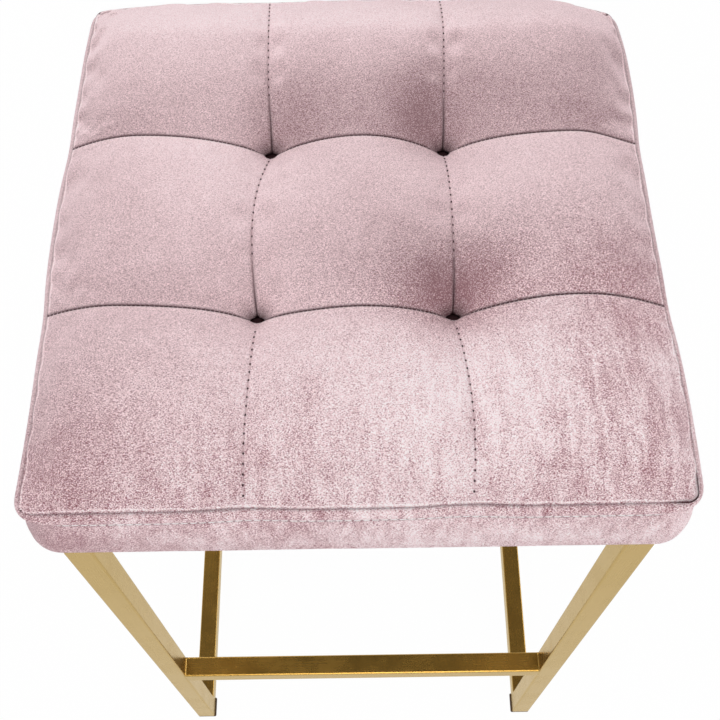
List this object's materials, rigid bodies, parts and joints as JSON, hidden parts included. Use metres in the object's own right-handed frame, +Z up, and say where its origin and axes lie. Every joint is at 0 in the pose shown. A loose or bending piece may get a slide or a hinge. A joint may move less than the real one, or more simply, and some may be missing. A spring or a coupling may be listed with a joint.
{
  "type": "counter stool",
  "caption": "Backless counter stool: square velvet seat, button-tufted into panels, on a sled frame of square gold tube with a footrest bar.",
  "frame": {"origin": "on the floor, under the middle of the frame", "axes": "+Z up, the footrest and front of the stool face -Y, +X is the right-hand side as seen in the picture"},
  "size_m": [0.4028, 0.403, 0.6894],
  "materials": {
    "satin_gold": "steel tube plated gold and lightly brushed along its length, satin",
    "pink_velvet": "short-pile blush pink velvet with an uneven nap",
    "birch_plywood": "raw birch plywood",
    "seat_foam": "cream upholstery foam",
    "black_lining": "thin black non-woven lining",
    "zinc_steel": "zinc-plated fastener steel",
    "brown_nylon": "dark brown moulded nylon",
    "waxed_twine": "waxed upholstery twine"
  },
  "bodies": {
    "root": {"front_leg_left": "satin_gold", "front_leg_right": "satin_gold", "rear_leg_left": "satin_gold", "rear_leg_right": "satin_gold", "floor_rail_left": "satin_gold", "floor_rail_right": "satin_gold", "top_rail_left": "satin_gold", "top_rail_right": "satin_gold", "front_top_rail": "satin_gold", "rear_top_rail": "satin_gold", "footrest_bar": "satin_gold", "rear_stretcher": "satin_gold", "corner_plate_front_left": "satin_gold", "corner_plate_front_right": "satin_gold", "corner_plate_rear_left": "satin_gold", "corner_plate_rear_right": "satin_gold", "foot_pad_front_left": "brown_nylon", "foot_pad_front_right": "brown_nylon", "foot_pad_rear_left": "brown_nylon", "foot_pad_rear_right": "brown_nylon", "seat_bolt_front_left": "zinc_steel", "seat_bolt_front_right": "zinc_steel", "seat_bolt_rear_left": "zinc_steel", "seat_bolt_rear_right": "zinc_steel", "seat_washer_front_left": "zinc_steel", "seat_washer_front_right": "zinc_steel", "seat_washer_rear_left": "zinc_steel", "seat_washer_rear_right": "zinc_steel", "board_nut_front_left": "zinc_steel", "board_nut_front_right": "zinc_steel", "board_nut_rear_left": "zinc_steel", "board_nut_rear_right": "zinc_steel", "seat_board": "birch_plywood", "foam_pad": "seat_foam", "velvet_top": "pink_velvet", "edge_band": "pink_velvet", "boxing": "pink_velvet", "dust_cover": "black_lining", "tuft_button_front_left": "pink_velvet", "tuft_button_front_right": "pink_velvet", "tuft_button_rear_left": "pink_velvet", "tuft_button_rear_right": "pink_velvet", "tuft_twine_front_left": "waxed_twine", "tuft_twine_front_right": "waxed_twine", "tuft_twine_rear_left": "waxed_twine", "tuft_twine_rear_right": "waxed_twine", "twine_anchor_front_left": "zinc_steel", "twine_anchor_front_right": "zinc_steel", "twine_anchor_rear_left": "zinc_steel", "twine_anchor_rear_right": "zinc_steel"}
  },
  "joints": []
}
